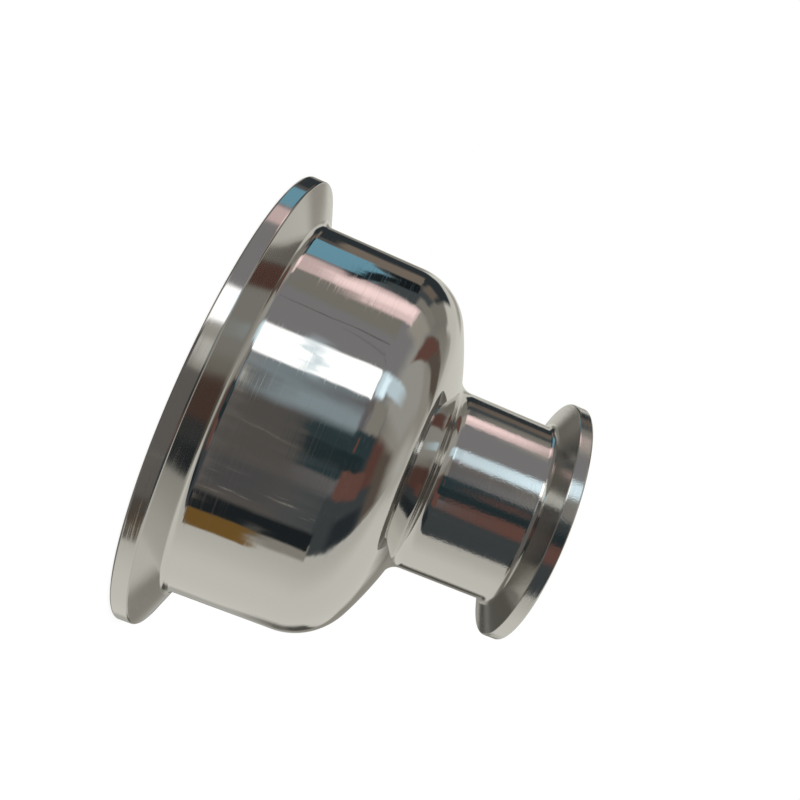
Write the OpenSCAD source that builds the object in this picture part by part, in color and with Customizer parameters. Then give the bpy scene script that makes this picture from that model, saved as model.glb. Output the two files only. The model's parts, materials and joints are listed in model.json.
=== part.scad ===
// Sanitary clamp reducer: a bowl with a dished head that takes a large clamped tube end down to a small one.
// It stands on the face of its large end, and +Z runs up its axis to the face of its small end.

/* [Large end] */
// Outside diameter of the large tube
large_tube_d = 76.2; // [66:0.1:80]
// Outside diameter of the large clamp flange
large_flange_d = 91; // [87:0.1:130]
// Length of the large ferrule, from its face to the head
large_ferrule_l = 21.5; // [8:0.1:80]
// Distance from the large rim in to the middle of its gasket groove
large_groove_inset = 3.75; // [3.4:0.05:6]

/* [Small end] */
// Outside diameter of the small tube
small_tube_d = 38.1; // [24:0.1:41]
// Outside diameter of the small clamp flange
small_flange_d = 50.5; // [47:0.1:80]
// Length of the small ferrule, from its face to the head's collar
small_ferrule_l = 21.5; // [8:0.1:80]
// Distance from the small rim in to the middle of its gasket groove
small_groove_inset = 3.5; // [3.4:0.05:5]

/* [Clamp flanges] */
// Thickness of each flange at its rim
rim_t = 2.85; // [2.2:0.05:6]
// Slope of the flanges' backs, where the clamp bears
taper_angle = 20; // [8:0.5:35]
// Radius where each back runs into its tube
taper_fillet_r = 1.5; // [0.3:0.1:3]
// Radius of the broken edges of the rims
rim_edge_r = 0.4; // [0.1:0.05:0.9]
// Radius of the gasket grooves' section
groove_r = 2.36; // [1.8:0.02:2.6]
// Depth of the gasket grooves
groove_depth = 1.59; // [0.8:0.01:1.8]

/* [Dished head] */
// Straight skirt of the head, between the large ferrule and the knuckle
skirt_l = 4; // [0:0.1:40]
// Outside radius of the knuckle, where the head turns in
knuckle_r = 12.95; // [4:0.05:20]
// Outside radius of the crown, the shallow dome of the head
crown_r = 68.58; // [48:0.1:200]
// Outside radius of the root, where the crown turns up into the neck
root_r = 3.2; // [0.5:0.1:8]
// Straight collar of the head, between the root and the small ferrule
collar_l = 1.7; // [0.1:0.1:40]

/* [Wall] */
// Wall thickness of the tubes and the head
wall_t = 1.65; // [0.8:0.05:3]

/* [Hidden] */
$fn = 180;

// How far a cut runs past the face that it opens
past = 1;
// How far arcs that touch run into each other, so that no step is left between them
blend = 0.0002;
large_r = large_tube_d / 2;
small_r = small_tube_d / 2;
// Outward direction square to a flange's back, in the plane of the outline
back_normal = [sin(taper_angle), cos(taper_angle)];
// The knuckle's arc touches the large tube where the skirt ends
skirt_z = large_ferrule_l + skirt_l;
knuckle_c = [large_r - knuckle_r, skirt_z];
// The crown's arc has its centre on the axis and touches the knuckle's arc from outside
crown_reach = crown_r - knuckle_r + blend;
crown_c = [0, skirt_z - sqrt(pow(crown_reach, 2) - pow(knuckle_c.x, 2))];
// The root's arc touches the crown and the neck
root_x = small_r + root_r;
root_reach = crown_r + root_r - blend;
root_c = [root_x, crown_c.y + sqrt(pow(root_reach, 2) - pow(root_x, 2))];
overall_l = root_c.y + collar_l + small_ferrule_l;

// Point on the line from a through b, at k times their distance from a
function along(a, b, k) = a + k * (b - a);

// Disc in the plane of the outline
module disc(centre, r) {
    translate(centre)
        circle(r = r);
}

// Rectangle from the axis out to radius r, between two heights
module column(r, low, high) {
    translate([0, low])
        square([r, high - low]);
}

// Knuckle and crown of the head, inset from their outside
module head_outline(inset) {
    intersection() {
        disc(knuckle_c, knuckle_r - inset);
        column(large_r, skirt_z, skirt_z + knuckle_r);
    }
    intersection() {
        disc(crown_c, crown_r - inset);
        polygon([
            [0, skirt_z],
            knuckle_c,
            along(crown_c, knuckle_c, 2 * crown_r / crown_reach),
            [0, crown_c.y + 2 * crown_r]
        ]);
    }
}

// Root between the crown and the neck, inset from its outside
module root_outline(inset) {
    difference() {
        polygon([
            [0, skirt_z],
            along(crown_c, root_c, (skirt_z - crown_c.y) / (root_c.y - crown_c.y)),
            root_c,
            [0, root_c.y]
        ]);
        disc(root_c, root_r + inset);
    }
}

// Whole vessel from end to end, inset from its outside and run past both faces
module vessel_outline(inset, run) {
    column(large_r - inset, -run, skirt_z);
    head_outline(inset);
    root_outline(inset);
    column(small_r - inset, skirt_z, overall_l + run);
}

// Clamp flange with its face at height 0, round edges and a fillet into the tube
module flange_outline(tube_r, flange_r) {
    edge_x = flange_r - rim_edge_r;
    back_c = [edge_x, rim_t - rim_edge_r * (1 - back_normal.x) / back_normal.y];
    foot_x = tube_r + taper_fillet_r;
    foot_c = [foot_x, rim_t + (taper_fillet_r + (flange_r - foot_x) * back_normal.x) / back_normal.y];
    difference() {
        union() {
            polygon([
                [0, 0],
                [edge_x, 0],
                [flange_r, rim_edge_r],
                [flange_r, back_c.y],
                back_c + rim_edge_r * back_normal,
                foot_c - taper_fillet_r * back_normal,
                foot_c,
                [0, foot_c.y]
            ]);
            disc([edge_x, rim_edge_r], rim_edge_r);
            disc(back_c, rim_edge_r);
        }
        disc(foot_c, taper_fillet_r);
    }
}

// Section of a gasket groove in a face at height 0
module groove_outline(flange_r, groove_inset) {
    disc([flange_r - groove_inset, groove_depth - groove_r], groove_r);
}

// Turns an outline that is drawn up from the small face over to its place
module at_small_face() {
    translate([0, overall_l])
        mirror([0, 1])
            children();
}

// The reducer: two ferrules and the dished head, welded and polished into one piece
module reducer_body() {
    color([0.74, 0.73, 0.71])
        rotate_extrude()
            difference() {
                union() {
                    vessel_outline(0, 0);
                    flange_outline(large_r, large_flange_d / 2);
                    at_small_face()
                        flange_outline(small_r, small_flange_d / 2);
                }
                vessel_outline(wall_t, past);
                groove_outline(large_flange_d / 2, large_groove_inset);
                at_small_face()
                    groove_outline(small_flange_d / 2, small_groove_inset);
            }
}

reducer_body();
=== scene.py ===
"""Sanitary clamp reducer in polished stainless steel, in a plain studio, seen as in the photograph.

The part stands on its large end. Its axis is Z, and the camera stands on the side of minus Y.
"""

import json
from math import acos, atan2, cos, pi, radians, sin, sqrt, tan
from typing import NamedTuple

import bmesh
import bpy
from bpy.props import FloatProperty, FloatVectorProperty, IntProperty, PointerProperty
from mathutils import Matrix, Vector


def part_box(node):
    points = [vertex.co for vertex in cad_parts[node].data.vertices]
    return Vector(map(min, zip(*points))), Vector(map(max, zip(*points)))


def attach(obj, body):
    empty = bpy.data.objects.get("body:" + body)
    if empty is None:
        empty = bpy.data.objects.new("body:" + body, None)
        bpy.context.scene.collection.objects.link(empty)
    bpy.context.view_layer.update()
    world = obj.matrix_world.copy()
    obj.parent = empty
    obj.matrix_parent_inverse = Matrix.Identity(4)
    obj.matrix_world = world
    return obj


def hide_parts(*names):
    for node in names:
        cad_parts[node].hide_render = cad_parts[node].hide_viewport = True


bl_info = {
    "name": "Sanitary clamp reducer",
    "version": (1, 0, 0),
    "blender": (4, 5, 0),
    "location": "3D View > Sidebar > Reducer",
    "description": "Makes a polished clamp reducer, its studio and its camera",
    "category": "Add Mesh",
}

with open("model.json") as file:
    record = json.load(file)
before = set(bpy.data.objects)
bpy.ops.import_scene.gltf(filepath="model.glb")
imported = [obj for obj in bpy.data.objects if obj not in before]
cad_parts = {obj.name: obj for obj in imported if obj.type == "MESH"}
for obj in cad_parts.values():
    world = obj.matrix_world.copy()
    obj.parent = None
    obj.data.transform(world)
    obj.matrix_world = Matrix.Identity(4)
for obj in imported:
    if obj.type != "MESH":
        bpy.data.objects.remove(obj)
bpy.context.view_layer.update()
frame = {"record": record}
MM = 0.001
MICRON = 0.001 * MM
MOUNTS = {mount["name"]: mount for mount in frame["record"]["mounts"]}
STEEL = next(kind for kind in frame["record"]["materials"] if kind["slot"] == "polished_steel")


def mount_radius(name):
    """Radius of one of the frame's round mounts, in metres."""
    return MOUNTS[name]["dims"]["r_mm"] * MM


def length(name, description, millimetres):
    """A property for a length, whose default is given in millimetres."""
    return FloatProperty(
        name=name, description=description, default=millimetres * MM, unit="LENGTH", precision=5,
    )


def share(name, description, default):
    """A property for a value from 0 to 1."""
    return FloatProperty(
        name=name, description=description, default=default, min=0, max=1, subtype="FACTOR",
    )


def amount(name, description, default, unit="NONE"):
    """A property for a value that is never below 0."""
    return FloatProperty(name=name, description=description, default=default, min=0, unit=unit)


def tint(name, description, default):
    """A property for the linear colour of a surface, or of a card, which may be brighter than white."""
    return FloatVectorProperty(
        name=name, description=description, default=default, min=0, max=4, subtype="COLOR",
    )


class ReducerSizes(bpy.types.PropertyGroup):
    """Sizes of the reducer. Those that its mounts give, and its height, are read from the frame."""

    large_rim_r: length("Large rim", "Radius of the large clamp flange", mount_radius("large_rim") / MM)
    large_bore_r: length("Large bore", "Radius of the large tube's bore", mount_radius("large_bore") / MM)
    small_rim_r: length("Small rim", "Radius of the small clamp flange", mount_radius("small_rim") / MM)
    small_bore_r: length("Small bore", "Radius of the small tube's bore", mount_radius("small_bore") / MM)
    wall: length("Wall", "Thickness of the tubes and the head", 1.65)
    rim_t: length("Rim thickness", "Thickness of each flange at its rim", 2.85)
    taper: FloatProperty(
        name="Taper", description="Slope of the flanges' backs", default=radians(20), subtype="ANGLE",
    )
    fillet_r: length("Taper fillet", "Radius where each back runs into its tube", 1.5)
    rim_edge_r: length("Rim edge", "Radius of the broken edges of the rims", 0.4)
    large_groove_inset: length("Large groove inset", "From the large rim in to its groove's middle", 3.75)
    small_groove_inset: length("Small groove inset", "From the small rim in to its groove's middle", 3.5)
    groove_r: length("Groove radius", "Radius of the gasket grooves' section", 2.36)
    groove_depth: length("Groove depth", "Depth of the gasket grooves", 1.59)
    skirt_z: length("Skirt height", "Height at which the knuckle starts", 25.5)
    knuckle_r: length("Knuckle", "Outside radius where the head turns in", 12.95)
    crown_r: length("Crown", "Outside radius of the head's shallow dome", 68.58)
    root_r: length("Root", "Outside radius where the dome turns up into the neck", 3.2)
    edge_break: length("Broken edge", "How far the sharp edges of the faces are broken", 0.12)
    steps_round: IntProperty(name="Steps round", description="Steps of the turned skin", default=280, min=48)


class SteelFinish(bpy.types.PropertyGroup):
    """How the steel is ground and polished."""

    steel: tint("Steel", "Colour of the bare steel", STEEL["base_color"])
    turned_steel: tint("Turned steel", "Colour of the turned flanges and faces", (0.60, 0.59, 0.57))
    mirror_rough: share("Mirror roughness", "Roughness of the tubes and the head", 0.048)
    rim_rough: share("Rim roughness", "Roughness of the flanges' rims", 0.11)
    turned_rough: share("Turned roughness", "Roughness of the flanges' backs and faces", 0.125)
    streak_rough: share("Streak roughness", "How much rougher the polish is where it is streaked", 0.14)
    smear: share("Smear", "How much further the marks smear reflections along the axis than round it", 0.55)
    waves: amount("Waves", "Height of the polish's slow waves, in microns", 14.4)
    grain: amount("Neck grain", "Height of the neck's fine grain, in microns", 11.0)


class StudioLook(bpy.types.PropertyGroup):
    """The studio's lamp, and the colours of its backdrop and cards."""

    backdrop: tint("Backdrop", "White behind the part", (1.0, 1.0, 1.0))
    white: tint("White card", "Card of the bright highlight", (1.65, 1.65, 1.65))
    cool: tint("Cool card", "Daylight round the highlight", (0.80, 0.98, 1.07))
    pale: tint("Pale card", "Broad warm card to one side", (0.70, 0.69, 0.63))
    grey: tint("Grey card", "Middle grey overhead", (0.30, 0.285, 0.25))
    mauve: tint("Mauve card", "Cool middle grey", (0.225, 0.22, 0.225))
    taupe: tint("Taupe card", "Dark warm grey below", (0.095, 0.088, 0.082))
    olive: tint("Olive card", "Dark olive", (0.10, 0.082, 0.066))
    brown: tint("Brown card", "Dark reddish brown", (0.115, 0.058, 0.047))
    slate: tint("Slate card", "Dark cool grey", (0.055, 0.064, 0.068))
    ink: tint("Ink card", "Dark card in front", (0.024, 0.040, 0.045))
    black: tint("Black card", "Darkest card", (0.012, 0.015, 0.017))
    blue: tint("Blue card", "Muted blue", (0.18, 0.39, 0.50))
    rose: tint("Rose card", "Pale rose", (1.13, 0.86, 0.84))
    amber: tint("Amber card", "Muted amber", (0.18, 0.10, 0.026))
    sway: amount("Sway", "Range over which the cards' edges wander, in degrees", 4.5)
    key_power: amount("Key power", "Power of the soft lamp", 1.2, unit="POWER")


class Card(NamedTuple):
    """A soft-edged card far off, by the directions in degrees between which the steel sees it.

    Its colour is one of the look's, and its level makes that brighter or darker. Its sides fade over soft
    degrees and its ends over soft_ends, and it moves to the right by lean degrees for each degree upwards.
    """

    colour: str
    left: float
    right: float
    low: float
    high: float
    level: float = 1
    soft: float = 3
    soft_ends: float = 3
    lean: float = 0


# Azimuth 0 is towards the camera's side and 90 towards plus X. A later card lies over an earlier one.
CARDS = (
    # Overhead and the far wall
    Card("grey", -180, 180, 56, 120, level=1.05, soft_ends=20),
    Card("pale", -180, 180, 80, 120, level=0.68, soft_ends=16),
    Card("mauve", -104, -18, -34, 36, soft=6, soft_ends=12),
    Card("grey", -86, -67, -9, 3, level=0.73, soft=5, soft_ends=3, lean=0.6),
    Card("taupe", -61.5, -61, -8, 0, soft=0.4, soft_ends=2, lean=0.3),
    Card("taupe", -54.3, -53.9, -4, 5, soft=0.4, soft_ends=2, lean=1.2),
    Card("grey", -124, -16, -72, -30, level=0.6, soft=20, soft_ends=14),
    Card("pale", -84, -24, 27, 72, level=0.52, soft=16, soft_ends=16),
    # The broad pale wall, right round the back, with painted shade low in it
    Card("pale", 68, 225, -34, 78, level=0.74, soft=2.5, soft_ends=14, lean=-0.13),
    Card("pale", 88, 218, -30, 76, level=0.94, soft=36, soft_ends=20),
    Card("grey", 66, 160, -70, -26, level=0.66, soft=14, soft_ends=16),
    Card("pale", 143, 178, -30, 13, level=0.6, soft=8, soft_ends=12),
    Card("grey", 164, 186, 12, 42, level=0.7, soft=8, soft_ends=8),
    Card("grey", 153, 174, 4, 25, level=0.95, soft=4, soft_ends=8),
    # Painted shade: dark grey cards for the shadow that the part casts where it rests, as the neck, the root
    # and the small flange's back mirror it
    Card("grey", 139, 152.5, -2, 13, level=0.5, soft=10, soft_ends=4),
    Card("grey", 142, 151.5, 5, 13, level=0.28, soft=5, soft_ends=3),
    Card("grey", 160, 174, -14, -4, level=0.3, soft=4, soft_ends=3),
    Card("grey", 138, 222, -70, -16, level=0.42, soft=14, soft_ends=12),
    Card("grey", 202, 220, -34, 1, level=0.85, soft=6, soft_ends=5),
    Card("grey", 201, 209, 8, 21, level=1.2, soft=5, soft_ends=6),
    Card("pale", 212, 232, 17, 36, level=0.86, soft=5, soft_ends=6),
    # The upper left
    Card("grey", -130, -92, 16, 32, level=0.72, soft=6, soft_ends=8),
    Card("grey", -98, -76, 11, 31, level=1.15, soft=8, soft_ends=6),
    Card("olive", -47, -15, 36, 63, level=1.1, soft=8, soft_ends=5, lean=-1.56),
    Card("brown", -44, -14, 33, 46, level=1.2, soft=8, soft_ends=5, lean=-1.56),
    Card("black", -147, -124, -12, 20, level=2.4, soft=3, soft_ends=4, lean=0.3),
    Card("olive", -134, -118.5, -6, 3, level=2, soft=5, soft_ends=1),
    Card("slate", -120.5, -98.5, -3, 18, level=1.15, soft=2.5, soft_ends=4),
    Card("olive", -127, -116, 6, 17, level=1.6, soft=5, soft_ends=4),
    Card("grey", -108, -99, 7, 30, level=0.8, soft=3, soft_ends=4),
    Card("blue", -122, -101.5, -20, -3, level=0.92, soft=1.5, soft_ends=0.6),
    Card("rose", -99.5, -86.5, -20, -1, level=0.6, soft=3, soft_ends=1.5),
    Card("rose", -97.5, -81.5, -4.4, 13, level=0.8, soft=4, soft_ends=3),
    Card("rose", -95, -88, -6, 10.5, level=1.06, soft=5, soft_ends=2),
    Card("black", -126, -117, -4.8, -1.6, level=0.9, soft=2.5, soft_ends=1, lean=-4.6),
    Card("black", -120, -109.5, -2, 3.5, level=0.9, soft=2.5, soft_ends=1),
    # The highlight
    Card("cool", -44, -32, 2, 44, level=0.75, soft=4, soft_ends=18, lean=-0.13),
    Card("cool", -43.5, -28.8, 7.5, 20, level=0.9, soft=5, soft_ends=4, lean=-0.1),
    Card("cool", -44.5, -30.5, 12.5, 19.5, level=1.25, soft=4, soft_ends=5),
    Card("cool", -38, -6, -9, 1, level=0.28, soft=20, soft_ends=6),
    Card("pale", -54, -30, -66, -26, level=1.25, soft=8, soft_ends=10),
    Card("white", -45, -27.6, -9, 4.5, soft=2, soft_ends=2),
    Card("white", -45.3, -27.2, -30, -8.6, soft=2.5, soft_ends=1.5),
    Card("cool", -36, -18, -5.4, -4.3, level=0.85, soft=10, soft_ends=1.2, lean=2),
    # The dark side, in front
    Card("mauve", -26, 66, -3, 34, level=0.62, soft=6, soft_ends=10),
    Card("olive", -8, 56, 26, 70, level=1.1, soft=14, soft_ends=12),
    Card("brown", -10, 32, 32, 52, level=1.0, soft=12, soft_ends=12),
    Card("slate", 30, 67.5, -3, 54, level=0.95, soft=6, soft_ends=12, lean=-0.13),
    Card("black", 48, 67, 22, 50, level=2, soft=8, soft_ends=12, lean=-0.16),
    Card("taupe", -28, -19, 6, 12.5, level=1.6, soft=6, soft_ends=6),
    Card("grey", -30, -9.5, 14, 34, level=0.85, soft=6, soft_ends=4),
    Card("mauve", -20, -6, 10.3, 14, level=0.85, soft=5, soft_ends=2),
    Card("ink", -9, 20, -8, 36, level=1.2, soft=3, soft_ends=9),
    Card("brown", 13, 31.5, 7, 40, level=1.25, soft=3, soft_ends=6),
    Card("brown", -5, 3, 10.6, 13.6, level=1.2, soft=3, soft_ends=1),
    Card("ink", 4, 14, -8, 30, level=0.8, soft=2, soft_ends=9),
    Card("taupe", -16, 66, -74, -3.4, level=1.05, soft=6, soft_ends=0.8, lean=0.3),
    Card("grey", 15, 16, -9, -4, level=0.5, soft=0.8, soft_ends=3, lean=0.8),
    Card("mauve", 30, 48, -12, -4, level=0.36, soft=6, soft_ends=3),
    Card("black", 53.5, 65, -9.5, 4, level=1.2, soft=3, soft_ends=2),
    Card("grey", 61, 72, -4.2, 5, level=0.9, soft=3, soft_ends=3),
    Card("black", 58, 65, -4.2, 4, level=1.2, soft=2, soft_ends=1.5),
    Card("amber", 64.5, 76, -9.3, -4.2, soft=1.5, soft_ends=0.8),
    Card("taupe", -14, 66, -74, -9, level=1.4, soft=6, soft_ends=1),
    Card("olive", 56, 79, -14, -9.3, level=0.85, soft=3, soft_ends=0.8),
    # Daylight that spills on the dark side
    Card("cool", -19, -7, -7.5, 3, level=0.34, soft=8, soft_ends=5),
    Card("grey", -27.2, -5, -14, -9, level=1.35, soft=3, soft_ends=1.5),
    Card("pale", -19, -9, -14, -9, level=0.9, soft=5, soft_ends=1.5),
)


class Veil(NamedTuple):
    """Patches of noise laid over some of the cards.

    Each pair says where the patches are gone and where they are full: the value of the noise, then the
    azimuth on the left, the azimuth on the right and the elevation upwards, in degrees.
    """

    colour: str
    level: float
    scale: float
    detail: float
    patches: tuple
    left: tuple
    right: tuple
    upwards: tuple


VEILS = (
    # Haze over the dark side
    Veil(
        "mauve", level=0.08, scale=11, detail=5, patches=(0.48, 0.78),
        left=(-40, -15), right=(54, 42), upwards=(42, 20),
    ),
    # Pale flecks low on its right
    Veil(
        "grey", level=0.8, scale=26, detail=2, patches=(0.60, 0.68),
        left=(28, 36), right=(54, 46), upwards=(1, -2),
    ),
)

# The Mix node's sockets go by number, because the ones for numbers and for colours share their names.
MIX_MASK = 0
MIX_NUMBERS = (2, 3)
MIX_COLOURS = (6, 7)
MIXED_COLOUR = 2


class Wire:
    """An output of a shader node. Arithmetic on it adds Math nodes, and node() adds any other."""

    def __init__(self, tree, socket=None):
        self.tree = tree
        self.socket = socket

    def node(self, kind, settings=None, sockets=None, output=0):
        """Adds a node, sets it up, gives its sockets values or links, and returns one of its outputs."""
        made = self.tree.nodes.new(kind)
        for name, value in (settings or {}).items():
            setattr(made, name, value)
        for key, value in (sockets or {}).items():
            if isinstance(value, Wire):
                self.tree.links.new(value.socket, made.inputs[key])
            else:
                made.inputs[key].default_value = value
        return Wire(self.tree, made.outputs[output] if made.outputs else None)

    def noise(self, place, scale, detail, output=0):
        """Noise over a place, by its scale for one unit and by how many finer layers it has."""
        sockets = {"Vector": place, "Scale": scale, "Detail": detail}
        return self.node("ShaderNodeTexNoise", sockets=sockets, output=output)

    def math(self, operation, *values):
        """A Math node on these values."""
        return self.node("ShaderNodeMath", {"operation": operation}, dict(enumerate(values)))

    def __add__(self, other):
        return self.math("ADD", self, other)

    def __radd__(self, other):
        return self.math("ADD", other, self)

    def __sub__(self, other):
        return self.math("SUBTRACT", self, other)

    def __rsub__(self, other):
        return self.math("SUBTRACT", other, self)

    def __mul__(self, other):
        return self.math("MULTIPLY", self, other)

    def __rmul__(self, other):
        return self.math("MULTIPLY", other, self)

    def __truediv__(self, other):
        return self.math("DIVIDE", self, other)

    def __rtruediv__(self, other):
        return self.math("DIVIDE", other, self)

    def __pow__(self, other):
        return self.math("POWER", self, other)

    def __abs__(self):
        return self.math("ABSOLUTE", self)

    def over(self, other):
        """The larger of two values, point by point."""
        return self.math("MAXIMUM", self, other)

    def step(self, off, on):
        """A mask that goes smoothly from 0 at off to 1 at on, and stays so past both. On may be below off."""
        ends = {"From Min": off, "From Max": on, "To Min": 0.0, "To Max": 1.0}
        if on < off:
            ends = {"From Min": on, "From Max": off, "To Min": 1.0, "To Max": 0.0}
        return self.node("ShaderNodeMapRange", {"interpolation_type": "SMOOTHSTEP"}, {"Value": self, **ends})

    def blend(self, low, high):
        """A number that runs from low, where this mask is 0, to high, where it is 1."""
        sockets = {MIX_MASK: self, MIX_NUMBERS[0]: low, MIX_NUMBERS[1]: high}
        return self.node("ShaderNodeMix", {"data_type": "FLOAT"}, sockets)

    def tint(self, low, high):
        """A colour that runs from low, where this mask is 0, to high, where it is 1."""
        sockets = {MIX_MASK: self, MIX_COLOURS[0]: opaque(low), MIX_COLOURS[1]: opaque(high)}
        return self.node("ShaderNodeMix", {"data_type": "RGBA"}, sockets, output=MIXED_COLOUR)

    def parts(self):
        """The three components of a vector."""
        split = self.node("ShaderNodeSeparateXYZ", sockets={0: self}).socket.node
        return [Wire(self.tree, socket) for socket in split.outputs]


def opaque(colour):
    """A colour with its alpha, or a link as it is."""
    return colour if isinstance(colour, Wire) else (*colour, 1.0)


# How finely the outline is drawn. Arcs that mirror much are drawn in small steps.
GUARD = 0.06 * MM
LEAST_STEPS = 4
BREAK_SEGMENTS = 4
KNUCKLE_STEP = radians(1.6)
CROWN_STEP = radians(0.5)
ROOT_STEP = radians(2)
FILLET_STEP = radians(5)
SHOULDER_STEP = radians(12)
EDGE_STEP = radians(15)
GROOVE_STEP = radians(6)
INNER_CROWN_STEP = radians(1)
INNER_BEND_STEP = radians(3)


class Pen:
    """Draws the section's outline in the plane of X and Z, with bmesh operators for its strokes."""

    def __init__(self, r, z):
        self.mesh = bmesh.new()
        self.tip = self.mesh.verts.new((r, 0, z))
        self.start = self.tip
        self.corners = []

    def point(self, r, z):
        """Carries the line straight on to a point."""
        drawn = bmesh.ops.extrude_vert_indiv(self.mesh, verts=[self.tip])
        self.tip = drawn["verts"][0]
        self.tip.co = (r, 0, z)

    def line(self, r, z):
        """A straight stretch, with a point close to each end so that the flat mirrors flat up to both."""
        start, end = self.tip.co.copy(), Vector((r, 0, z))
        way = (end - start).normalized() * GUARD
        for stop in (start + way, end - way, end):
            self.point(stop.x, stop.z)

    def arc(self, centre, turn, step):
        """An arc about a centre, through an angle that is positive from X towards Z."""
        drawn = bmesh.ops.spin(
            self.mesh, geom=[self.tip], cent=(centre[0], 0, centre[1]), axis=(0, -1, 0), angle=turn,
            steps=max(LEAST_STEPS, round(abs(turn) / step)), use_merge=False,
        )
        self.tip = next(item for item in drawn["geom_last"] if isinstance(item, bmesh.types.BMVert))

    def corner(self):
        """Marks the tip as an edge that is broken once the outline is drawn."""
        self.corners.append(self.tip)

    def close(self, edge_break):
        """Joins the end to the start and breaks the marked corners."""
        self.mesh.edges.new((self.tip, self.start))
        bmesh.ops.bevel(
            self.mesh, geom=self.corners, offset=edge_break, offset_type="OFFSET", affect="VERTICES",
            segments=BREAK_SEGMENTS, profile=0.5, material=-1,
        )
        return self.mesh


def draw_section(size, top):
    """The outline of the wall, up the outside from the large face and down the inside back to it."""
    large_r = size.large_bore_r + size.wall
    small_r = size.small_bore_r + size.wall
    lean, square = sin(size.taper), cos(size.taper)
    edge, fillet, bend = size.rim_edge_r, size.fillet_r, pi / 2 - size.taper
    back_z = size.rim_t - edge * (1 - lean) / square

    def foot_z(tube_r, rim_r):
        """Height of the centre of the fillet between a flange's back and its tube."""
        return size.rim_t + (fillet + (rim_r - tube_r - fillet) * lean) / square

    knuckle = (large_r - size.knuckle_r, size.skirt_z)
    crown = (0, size.skirt_z - sqrt((size.crown_r - size.knuckle_r) ** 2 - knuckle[0] ** 2))
    root_x = small_r + size.root_r
    root = (root_x, crown[1] + sqrt((size.crown_r + size.root_r) ** 2 - root_x ** 2))
    knuckle_end = atan2(knuckle[1] - crown[1], knuckle[0])
    crown_end = atan2(root[1] - crown[1], root[0])

    pen = Pen(size.large_rim_r - edge, 0)
    pen.arc((size.large_rim_r - edge, edge), pi / 2, EDGE_STEP)
    pen.line(size.large_rim_r, back_z)
    pen.arc((size.large_rim_r - edge, back_z), bend, SHOULDER_STEP)
    foot = (large_r + fillet, foot_z(large_r, size.large_rim_r))
    pen.line(foot[0] - fillet * lean, foot[1] - fillet * square)
    pen.arc(foot, -bend, FILLET_STEP)
    pen.line(large_r, size.skirt_z)
    pen.arc(knuckle, knuckle_end, KNUCKLE_STEP)
    pen.arc(crown, crown_end - knuckle_end, CROWN_STEP)
    pen.arc(root, -crown_end, ROOT_STEP)
    foot = (small_r + fillet, top - foot_z(small_r, size.small_rim_r))
    pen.line(small_r, foot[1])
    pen.arc(foot, -bend, FILLET_STEP)
    pen.line(size.small_rim_r - edge + edge * lean, top - back_z - edge * square)
    pen.arc((size.small_rim_r - edge, top - back_z), bend, SHOULDER_STEP)
    pen.line(size.small_rim_r, top - edge)
    pen.arc((size.small_rim_r - edge, top - edge), pi / 2, EDGE_STEP)

    groove_lift = size.groove_r - size.groove_depth
    groove_half = sqrt(size.groove_r ** 2 - groove_lift ** 2)
    groove_turn = 2 * acos(groove_lift / size.groove_r)
    groove_at = size.small_rim_r - size.small_groove_inset
    pen.line(groove_at + groove_half, top)
    pen.corner()
    pen.arc((groove_at, top + groove_lift), -groove_turn, GROOVE_STEP)
    pen.corner()
    pen.line(size.small_bore_r, top)
    pen.corner()
    pen.line(size.small_bore_r, root[1])
    pen.arc(root, crown_end, INNER_BEND_STEP)
    pen.arc(crown, knuckle_end - crown_end, INNER_CROWN_STEP)
    pen.arc(knuckle, -knuckle_end, INNER_BEND_STEP)
    pen.line(size.large_bore_r, 0)
    pen.corner()
    groove_at = size.large_rim_r - size.large_groove_inset
    pen.line(groove_at - groove_half, 0)
    pen.corner()
    pen.arc((groove_at, -groove_lift), -groove_turn, GROOVE_STEP)
    pen.corner()
    return pen.close(size.edge_break)


def turn_section(mesh, steps):
    """Spins the outline once round Z into the whole closed skin, with its faces outwards."""
    bmesh.ops.spin(
        mesh, geom=mesh.verts[:] + mesh.edges[:], cent=(0, 0, 0), axis=(0, 0, 1), angle=2 * pi, steps=steps,
        use_merge=True,
    )
    bmesh.ops.remove_doubles(mesh, verts=mesh.verts[:], dist=MICRON)
    bmesh.ops.recalc_face_normals(mesh, faces=mesh.faces[:])


def piece(name, mesh, smooth=True):
    """Puts a bmesh into the scene as an object of its own."""
    data = bpy.data.meshes.new(name)
    for face in mesh.faces:
        face.smooth = smooth
    mesh.to_mesh(data)
    mesh.free()
    made = bpy.data.objects.new(name, data)
    bpy.context.scene.collection.objects.link(made)
    return made


def new_material(name):
    """An empty node material, and a wire to add nodes with."""
    material = bpy.data.materials.new(name)
    material.use_nodes = True
    material.node_tree.nodes.clear()
    return material, Wire(material.node_tree)


# Where the finishes change: the width of the change, the share of each fillet that is polished as the tube
# is, and the shares of the part's height between which the neck's grain sets in
CHANGE = 0.12 * MM
POLISHED_SHARE = 0.6
NECK_START = 0.66
NECK_FULL = 0.68

# Marks that run round the part: their scale on a circle of radius 1, then in a millimetre across, and how
# many finer layers they have
FINE_MARKS = (5, 5.0, 2)
COARSE_MARKS = (3, 0.9, 2)
STREAK_MARKS = (3, 5.0, 1)
SCRATCH_MARKS = (2.2, 9.0, 0)

# Noise that has no direction: its scale in a metre, and how many finer layers it has
WAVE_NOISE = (240, 1)
GRAIN_NOISE = (3200, 1)
PATCH_NOISE = (60, 3)

# The values of the noise at which streaks, patches and scratches are gone, and at which they are full
STREAK_RANGE = (0.54, 0.78)
PATCH_RANGE = (0.46, 0.64)
SCRATCH_RANGE = (0.70, 0.78)

# Roughness: the part of the finish's own that is there without marks, then what the marks and the neck add
PLAIN_ROUGH = 0.6
FINE_ROUGH = 0.5
PATCH_ROUGH = 0.3
RIM_STREAK_ROUGH = 0.1
SCRATCH_ROUGH = 0.06
NECK_ROUGH = 0.04

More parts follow.
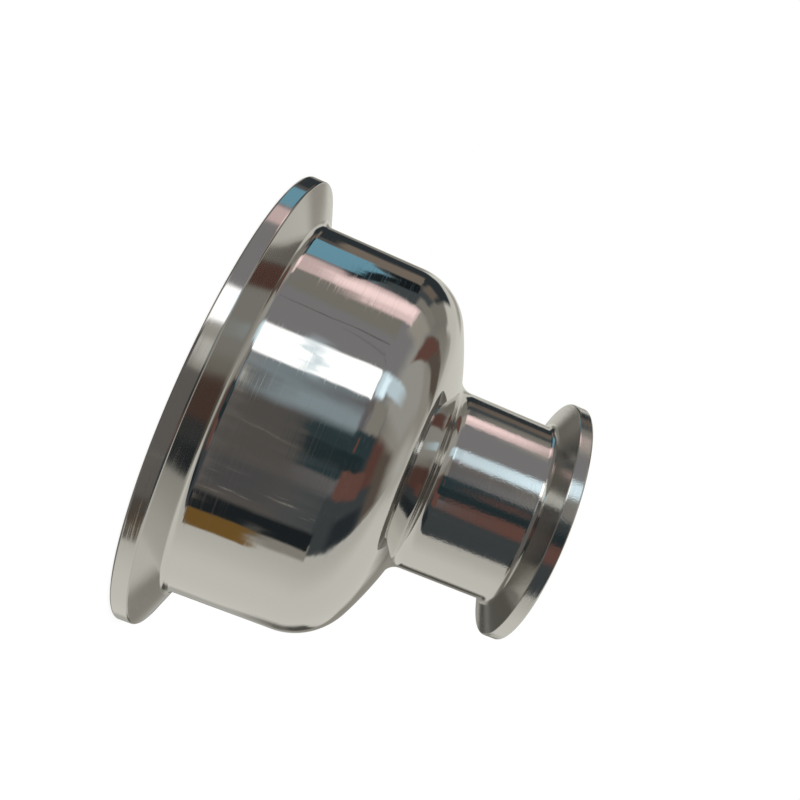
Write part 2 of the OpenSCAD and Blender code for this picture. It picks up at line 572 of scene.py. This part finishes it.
# Heights in microns: on the polish, and how much more on turned steel and on the neck
FINE_HEIGHT = 0.3
FINE_TURNED = 1.2
FINE_NECK = 0.4
COARSE_HEIGHT = 0.5
COARSE_TURNED = 0.9
SCRATCH_DEPTH = 0.6
STREAK_GRAIN = 0.3

QUARTER_TURN = 0.25


def steel_material(size, finish, top):
    """Stainless steel: mirror tubes and head, turned flanges, and fine marks that run round the part."""
    material, wire = new_material("polished stainless steel")
    spot = wire.node("ShaderNodeTexCoord", output="Object")
    x, y, z = spot.parts()
    radius = (x * x + y * y) ** 0.5
    across = (z - radius) / MM
    ring_x, ring_y = x / radius, y / radius

    def marks(round_scale, across_scale, detail):
        """Noise that is drawn out round the part, by its scale round it and across it."""
        place = wire.node(
            "ShaderNodeCombineXYZ",
            sockets={0: ring_x * round_scale, 1: ring_y * round_scale, 2: across * across_scale},
        )
        return wire.noise(place, 1, detail)

    def flange(height, bore_r, rim_r):
        """Where one flange is turned, and where its rim is, by the height from its own face."""
        tube_r = bore_r + size.wall
        polished_r = tube_r + POLISHED_SHARE * size.fillet_r
        foot = size.rim_t + (rim_r - tube_r) * tan(size.taper)
        face = height.step(CHANGE, CHANGE / 2)
        back = radius.step(polished_r, polished_r + CHANGE)
        rim = height.step(size.rim_t, size.rim_t - CHANGE) * radius.step(rim_r - size.rim_edge_r, rim_r)
        return height.step(foot, foot - CHANGE) * back.over(face), rim

    large, large_rim = flange(z, size.large_bore_r, size.large_rim_r)
    small, small_rim = flange(top - z, size.small_bore_r, size.small_rim_r)
    turned, rims = large + small, large_rim + small_rim
    neck = z.step(top * NECK_START, top * NECK_FULL)

    fine = marks(*FINE_MARKS)
    coarse = marks(*COARSE_MARKS)
    waves = wire.noise(spot, *WAVE_NOISE)
    grain = wire.noise(spot, *GRAIN_NOISE)
    patches = wire.noise(spot, *PATCH_NOISE)
    streaks = marks(*STREAK_MARKS).step(*STREAK_RANGE) * patches.step(*PATCH_RANGE)
    scratches = marks(*SCRATCH_MARKS).step(*SCRATCH_RANGE)

    rough = rims.blend(turned.blend(finish.mirror_rough, finish.turned_rough), finish.rim_rough)
    rough = rough * (PLAIN_ROUGH + FINE_ROUGH * fine + PATCH_ROUGH * patches)
    rough = rough + streaks * (finish.streak_rough + RIM_STREAK_ROUGH * rims)
    rough = rough + SCRATCH_ROUGH * scratches + NECK_ROUGH * neck
    height = fine * (FINE_HEIGHT + FINE_TURNED * turned + FINE_NECK * neck)
    height = height + coarse * (COARSE_HEIGHT + COARSE_TURNED * turned) - SCRATCH_DEPTH * scratches
    height = height + finish.waves * waves
    height = height + grain * (finish.grain * neck + STREAK_GRAIN * streaks * (1 - turned))
    normal = wire.node("ShaderNodeBump", sockets={"Strength": 1.0, "Distance": MICRON, "Height": height})
    colour = (turned * (1 - rims)).tint(finish.steel, finish.turned_steel)
    shader = wire.node(
        "ShaderNodeBsdfPrincipled",
        sockets={
            "Base Color": colour, "Metallic": 1.0, "Roughness": rough, "Normal": normal,
            "Anisotropic": finish.smear, "Anisotropic Rotation": QUARTER_TURN,
        },
    )
    wire.node("ShaderNodeOutputMaterial", sockets={"Surface": shader})
    return material


class REDUCER_OT_body(bpy.types.Operator):
    """Makes the whole reducer: two ferrules and the dished head, polished into one piece"""

    bl_idname = "reducer.body"
    bl_label = "Reducer body"

    def execute(self, context):
        size, finish = context.scene.reducer_sizes, context.scene.reducer_finish
        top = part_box("reducer_body")[1].z
        mesh = draw_section(size, top)
        turn_section(mesh, size.steps_round)
        body = piece("polished_body", mesh)
        body.data.materials.append(steel_material(size, finish, top))
        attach(body, "root")
        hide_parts("reducer_body")
        return {"FINISHED"}


# Where the part lies in the photograph, which is 800 pixels wide and high
PHOTO_SIDE = 800
FOOT_X, FOOT_Y = 228.8, 395.3
MIDDLE_X, MIDDLE_Y = 475.0, 411.5
FOCAL_PIXELS = 791
FOOT_DISTANCE = 156.3 * MM
AXIS_SLOPE = radians(22.9)
AXIS_LEAN = radians(7.06)
NEAREST_SEEN = 10 * MM


def camera_place():
    """The camera's matrix, from how the part's axis lies in the picture.

    The foot is the middle of the large face. The axis runs down to the right by its slope, and away by its
    lean.
    """
    axis = Vector((cos(AXIS_LEAN) * cos(AXIS_SLOPE), -cos(AXIS_LEAN) * sin(AXIS_SLOPE), -sin(AXIS_LEAN)))
    foot = Vector((FOOT_X - MIDDLE_X, MIDDLE_Y - FOOT_Y, -FOCAL_PIXELS)) * (FOOT_DISTANCE / FOCAL_PIXELS)
    behind = (foot - foot.dot(axis) * axis).normalized()
    side = behind.cross(axis)
    turned = Matrix((side, behind, axis)).transposed().to_4x4()
    return (Matrix.Translation(foot) @ turned).inverted()


def add_camera(context):
    """The photograph's camera, shifted as its frame is from the middle of its lens."""
    data = bpy.data.cameras.new("photo camera")
    data.lens = data.sensor_width * FOCAL_PIXELS / PHOTO_SIDE
    data.shift_x = (PHOTO_SIDE / 2 - MIDDLE_X) / PHOTO_SIDE
    data.shift_y = (MIDDLE_Y - PHOTO_SIDE / 2) / PHOTO_SIDE
    data.clip_start = NEAREST_SEEN
    camera = bpy.data.objects.new("photo camera", data)
    camera.matrix_world = camera_place()
    context.scene.collection.objects.link(camera)
    context.scene.camera = camera


HALF_TURN = 180.0
MIDDLE_NOISE = 0.5
SWAY_NOISE = (8, 4)
# The elevations between which the bare room goes from taupe to grey
ROOM_RISE = (0, 60)


def add_room(context, look):
    """White behind the part for the camera, and the studio's cards for what the steel mirrors."""
    world = bpy.data.worlds.new("studio")
    world.use_nodes = True
    world.node_tree.nodes.clear()
    context.scene.world = world
    wire = Wire(world.node_tree)
    way = wire.node("ShaderNodeTexCoord", output="Generated")
    x, y, z = way.parts()
    sway = wire.noise(way, *SWAY_NOISE, output="Color")
    aslant, upwards, _ = sway.parts()
    azimuth = wire.math("ARCTAN2", x, 0.0 - y) * (HALF_TURN / pi) + (aslant - MIDDLE_NOISE) * look.sway
    elevation = wire.math("ARCSINE", z) * (HALF_TURN / pi) + (upwards - MIDDLE_NOISE) * look.sway
    colour = elevation.step(*ROOM_RISE).tint(look.taupe, look.grey)
    for card in CARDS:
        middle = (card.left + card.right) / 2 + elevation * card.lean
        aside = abs(wire.math("WRAP", azimuth - middle, HALF_TURN, -HALF_TURN))
        half = (card.right - card.left) / 2
        rise = abs(elevation - (card.low + card.high) / 2)
        tall = (card.high - card.low) / 2
        mask = aside.step(half + card.soft / 2, half - card.soft / 2)
        mask = mask * rise.step(tall + card.soft_ends / 2, tall - card.soft_ends / 2)
        shade = [card.level * part for part in getattr(look, card.colour)]
        colour = mask.tint(colour, shade)
    for veil in VEILS:
        mask = wire.noise(way, veil.scale, veil.detail).step(*veil.patches)
        mask = mask * azimuth.step(*veil.left) * azimuth.step(*veil.right) * elevation.step(*veil.upwards)
        colour = (mask * veil.level).tint(colour, getattr(look, veil.colour))
    cards = wire.node("ShaderNodeBackground", sockets={"Color": colour, "Strength": 1.0})
    plain = wire.node("ShaderNodeBackground", sockets={"Color": opaque(look.backdrop), "Strength": 1.0})
    rays = wire.node("ShaderNodeLightPath").socket.node.outputs
    plainly = Wire(wire.tree, rays["Is Camera Ray"]).over(Wire(wire.tree, rays["Is Diffuse Ray"]))
    shown = wire.node("ShaderNodeMixShader", sockets={0: plainly, 1: cards, 2: plain})
    wire.node("ShaderNodeOutputWorld", sockets={"Surface": shown})


# The floor is paint that a glow lights from within, so that it is white to the camera and keeps a shadow.
FLOOR_R = 3.0
FLOOR_SIDES = 96
FLOOR_DROP = 0.05 * MM
FLOOR_GRAIN = (40, 3)
FLOOR_DARK = (0.82, 0.82, 0.81)
FLOOR_LIGHT = (0.86, 0.86, 0.85)
FLOOR_ROUGH = 0.9
GLOW_STRENGTH = 1.12
GLOW_SHARE = 0.75


def add_floor(look):
    """Pale floor, white to the camera but for the part's soft shadow."""
    mesh = bmesh.new()
    bmesh.ops.create_circle(mesh, cap_ends=True, segments=FLOOR_SIDES, radius=FLOOR_R)
    bmesh.ops.translate(mesh, verts=mesh.verts[:], vec=(0, 0, -FLOOR_DROP))
    floor = piece("floor", mesh, smooth=False)
    floor.visible_glossy = False
    material, wire = new_material("pale floor")
    grain = wire.noise(wire.node("ShaderNodeTexCoord", output="Object"), *FLOOR_GRAIN)
    paint = wire.node(
        "ShaderNodeBsdfPrincipled",
        sockets={"Base Color": grain.tint(FLOOR_DARK, FLOOR_LIGHT), "Roughness": FLOOR_ROUGH},
    )
    glow = wire.node(
        "ShaderNodeEmission", sockets={"Color": opaque(look.backdrop), "Strength": GLOW_STRENGTH},
    )
    mixed = wire.node("ShaderNodeMixShader", sockets={0: GLOW_SHARE, 1: paint, 2: glow})
    wire.node("ShaderNodeOutputMaterial", sockets={"Surface": mixed})
    floor.data.materials.append(material)


# The lamp's side and place, in metres
LAMP_SIDE = 0.5
LAMP_PLACE = Vector((-0.35, -0.45, 0.6))


def add_lamp(context, power):
    """A soft square lamp that points at the part's foot and doesn't show in the steel."""
    data = bpy.data.lights.new("key lamp", "AREA")
    data.energy = power
    data.size = LAMP_SIDE
    lamp = bpy.data.objects.new("key lamp", data)
    lamp.location = LAMP_PLACE
    lamp.rotation_euler = (-LAMP_PLACE).to_track_quat("-Z", "Y").to_euler()
    lamp.visible_glossy = False
    context.scene.collection.objects.link(lamp)


class REDUCER_OT_studio(bpy.types.Operator):
    """Makes the camera, the room, the floor and the lamp"""

    bl_idname = "reducer.studio"
    bl_label = "Studio"

    def execute(self, context):
        look = context.scene.reducer_studio
        context.scene.view_settings.view_transform = "Standard"
        add_camera(context)
        add_room(context, look)
        add_floor(look)
        add_lamp(context, look.key_power)
        return {"FINISHED"}


class REDUCER_PT_panel(bpy.types.Panel):
    """Sizes, finish and studio of the reducer"""

    bl_label = "Clamp reducer"
    bl_idname = "REDUCER_PT_panel"
    bl_space_type = "VIEW_3D"
    bl_region_type = "UI"
    bl_category = "Reducer"

    def draw(self, context):
        for group, operator in (
            (context.scene.reducer_sizes, REDUCER_OT_body),
            (context.scene.reducer_finish, None),
            (context.scene.reducer_studio, REDUCER_OT_studio),
        ):
            box = self.layout.box()
            for name in group.__annotations__:
                box.prop(group, name)
            if operator:
                box.operator(operator.bl_idname)


CLASSES = (ReducerSizes, SteelFinish, StudioLook, REDUCER_OT_body, REDUCER_OT_studio, REDUCER_PT_panel)


def register():
    """Registers the classes and puts their settings on the scene."""
    for item in CLASSES:
        bpy.utils.register_class(item)
    bpy.types.Scene.reducer_sizes = PointerProperty(type=ReducerSizes)
    bpy.types.Scene.reducer_finish = PointerProperty(type=SteelFinish)
    bpy.types.Scene.reducer_studio = PointerProperty(type=StudioLook)


def unregister():
    """Takes the settings and the classes away again."""
    del bpy.types.Scene.reducer_studio
    del bpy.types.Scene.reducer_finish
    del bpy.types.Scene.reducer_sizes
    for item in reversed(CLASSES):
        bpy.utils.unregister_class(item)


def main():
    """Makes the part and its studio."""
    register()
    bpy.ops.reducer.studio()
    bpy.ops.reducer.body()


if __name__ == "__main__":
    main()
